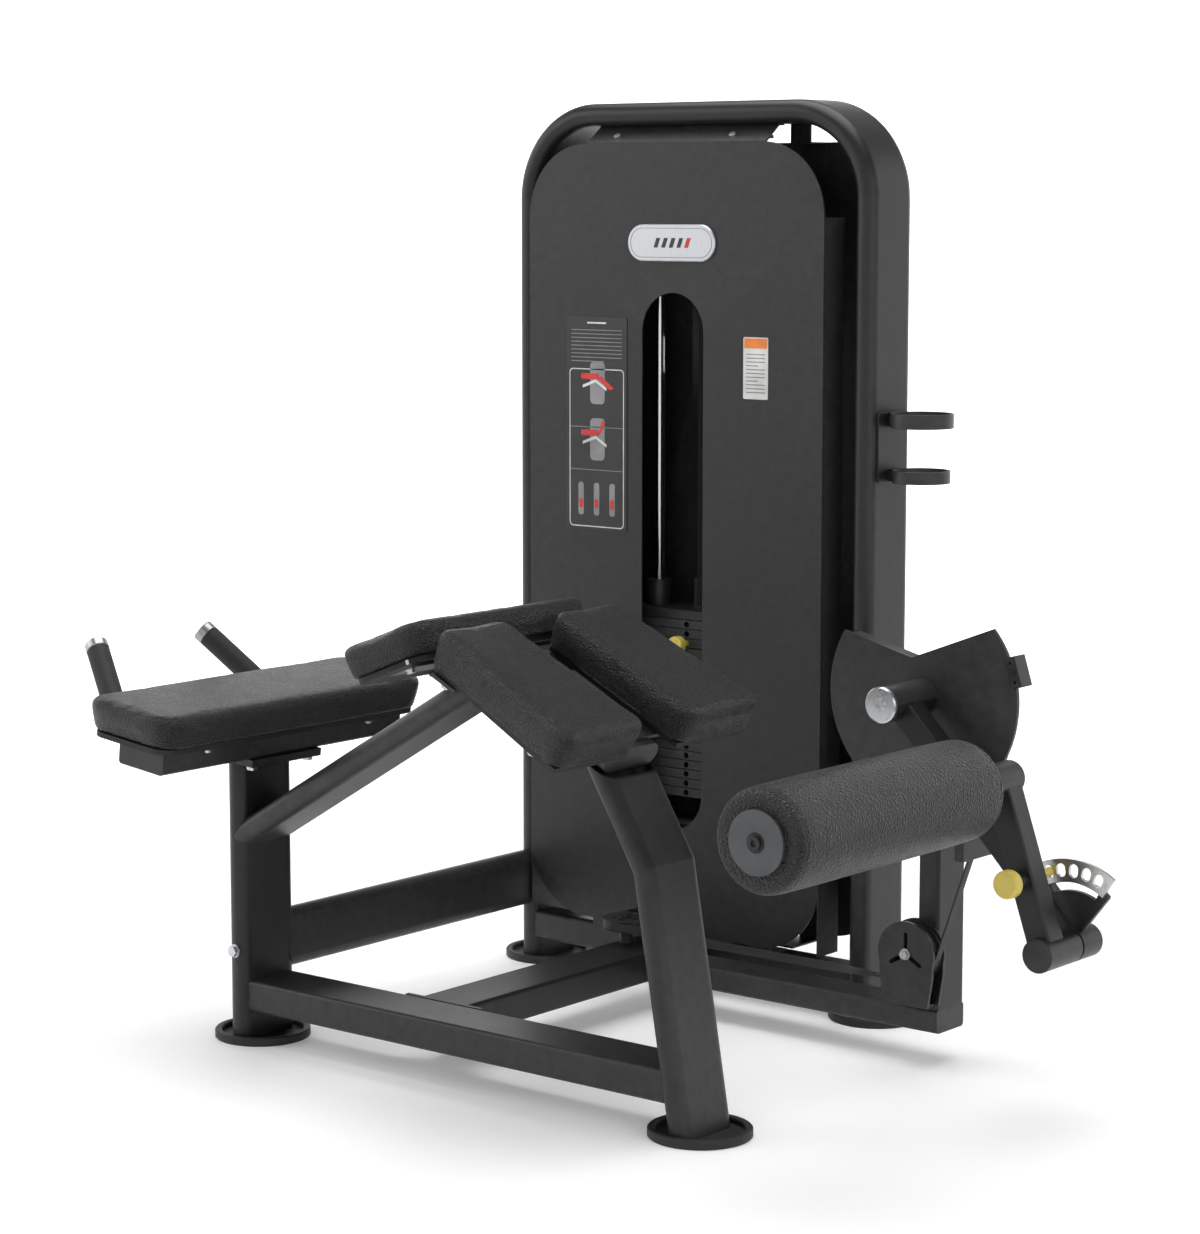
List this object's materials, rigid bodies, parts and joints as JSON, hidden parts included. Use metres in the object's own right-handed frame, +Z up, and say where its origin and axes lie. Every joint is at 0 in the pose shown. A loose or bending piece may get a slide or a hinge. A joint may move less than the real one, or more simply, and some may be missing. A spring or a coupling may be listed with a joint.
{
  "type": "lying leg curl machine",
  "caption": "Selectorised prone leg-curl gym machine: angled bench pads, hand grips, cam lever with padded roller, and a shrouded weight-stack tower.",
  "frame": {"origin": "on the floor, under the middle of the machine's bounding box", "axes": "+X along the bench from the head end to the foot end, +Y from the bench back to the weight tower, +Z up"},
  "size_m": [1.5878, 1.094, 1.5],
  "materials": {
    "frame_paint": "satin charcoal powder coat",
    "cover_paint": "fine satin powder coat on sheet",
    "upholstery": "grained dark synthetic leather",
    "board": "black-stained plywood",
    "black_rubber": "matte black rubber",
    "black_plastic": "moulded black plastic",
    "belt": "ribbed black belt",
    "drum_paint": "black powder coat",
    "weights": "black coated weight plates",
    "chrome_rod": "polished chrome",
    "steel": "bright steel",
    "bronze": "sintered bronze",
    "polished_aluminium": "polished",
    "yellow": "yellow moulded knob",
    "silver_badge": "silver plate",
    "placard_dark": "printed instruction plate",
    "label_white": "printed sticker"
  },
  "bodies": {
    "frame": {"frame_bolts": "steel", "rubber_feet": "black_rubber", "arch_frame": "frame_paint", "tower_base_beam": "frame_paint", "head_post": "frame_paint", "link_tube": "frame_paint", "front_leg": "frame_paint", "diagonal_beam": "frame_paint", "pad_carrier": "frame_paint", "front_rail": "frame_paint", "cross_rail": "frame_paint", "base_rail": "frame_paint", "pivot_column": "frame_paint", "pivot_bushes": "bronze", "lever_stop_bracket": "frame_paint", "arm_pad_beam": "frame_paint", "beam_caps": "black_plastic", "handle_tubes": "frame_paint", "handle_grips": "black_rubber", "handle_caps": "polished_aluminium", "pad_boards": "board", "arm_pad": "upholstery", "chest_pad": "upholstery", "near_thigh_pad": "upholstery", "far_thigh_pad": "upholstery", "front_shroud": "cover_paint", "rear_shroud": "cover_paint", "shroud_mounts": "frame_paint", "badge": "silver_badge", "placard": "placard_dark", "side_label": "label_white", "cup_holder": "frame_paint", "resting_plates": "weights", "guide_rods": "chrome_rod", "rubber_bumpers": "black_rubber", "stack_frame": "frame_paint", "drive_belt": "belt", "pulley_brackets": "frame_paint", "pulley_housing": "frame_paint"},
    "lever": {"pivot_shaft": "steel", "hub_cap": "chrome_rod", "cam_plate": "frame_paint", "cam_drum": "drum_paint", "belt_clamp": "frame_paint", "cam_belt": "belt", "main_lever": "frame_paint", "sector_plate": "steel"},
    "roller_arm": {"roller_arm": "frame_paint"},
    "roller": {"roller_foam": "upholstery", "roller_core": "black_plastic"},
    "adjuster_pin": {"adjuster_knob": "yellow"},
    "lifted_stack": {"head_plate": "weights", "lifted_plates": "weights", "guide_bushings": "black_plastic", "stack_belt": "belt"},
    "selector_pin": {"selector_pin": "yellow"},
    "column_pulley": {"column_pulley": "black_plastic"},
    "corner_pulley": {"corner_pulley": "black_plastic"},
    "base_pulley": {"base_pulley": "black_plastic"},
    "top_pulley": {"top_pulley": "black_plastic"}
  },
  "joints": [
    {"name": "lever_swing", "type": "hinge", "parent": "frame", "child": "lever", "pos_m": [0.40676, 0.203, 0.587], "axis": [0, -1, 0], "range_deg": [0, 110]},
    {"name": "roller_arm_adjust", "type": "hinge", "parent": "lever", "child": "roller_arm", "pos_m": [0.72228, 0.153, 0.25959], "axis": [0, 1, 0], "range_deg": [0, 44]},
    {"name": "roller_spin", "type": "hinge", "parent": "roller_arm", "child": "roller", "pos_m": [0.63875, -0.247, 0.50496], "axis": [0, 1, 0], "continuous": true},
    {"name": "adjuster_pull", "type": "slide", "parent": "roller_arm", "child": "adjuster_pin", "axis": [0, -1, 0], "range_m": [0, 0.012], "stiffness_N_per_m": 400},
    {"name": "stack_lift", "type": "slide", "parent": "frame", "child": "lifted_stack", "axis": [0, 0, 1], "range_m": [0, 0.305], "deforming": ["stack_belt"]},
    {"name": "selector_pull", "type": "slide", "parent": "lifted_stack", "child": "selector_pin", "axis": [0, -1, 0], "range_m": [0, 0.06]},
    {"name": "column_pulley_spin", "type": "hinge", "parent": "frame", "child": "column_pulley", "pos_m": [0.38376, 0.259, 0.181], "axis": [0, -1, 0], "range_deg": [0, 381]},
    {"name": "corner_pulley_spin", "type": "hinge", "parent": "frame", "child": "corner_pulley", "pos_m": [-0.21424, 0.296, 0.135], "axis": [0, 0, 1], "range_deg": [0, 473]},
    {"name": "base_pulley_spin", "type": "hinge", "parent": "frame", "child": "base_pulley", "pos_m": [-0.25124, 0.496, 0.172], "axis": [-1, 0, 0], "range_deg": [0, 473]},
    {"name": "top_pulley_spin", "type": "hinge", "parent": "frame", "child": "top_pulley", "pos_m": [-0.22474, 0.507, 1.385], "axis": [-0.7003, -0.7138, 0], "range_deg": [0, 472]}
  ],
  "couplings": [
    {"joint": "stack_lift", "follows": "lever_swing", "m_per_rad": 0.1585},
    {"joint": "column_pulley_spin", "follows": "lever_swing", "ratio": 3.4457},
    {"joint": "corner_pulley_spin", "follows": "lever_swing", "ratio": 4.2838},
    {"joint": "base_pulley_spin", "follows": "lever_swing", "ratio": 4.2838},
    {"joint": "top_pulley_spin", "follows": "lever_swing", "ratio": 4.2694}
  ]
}
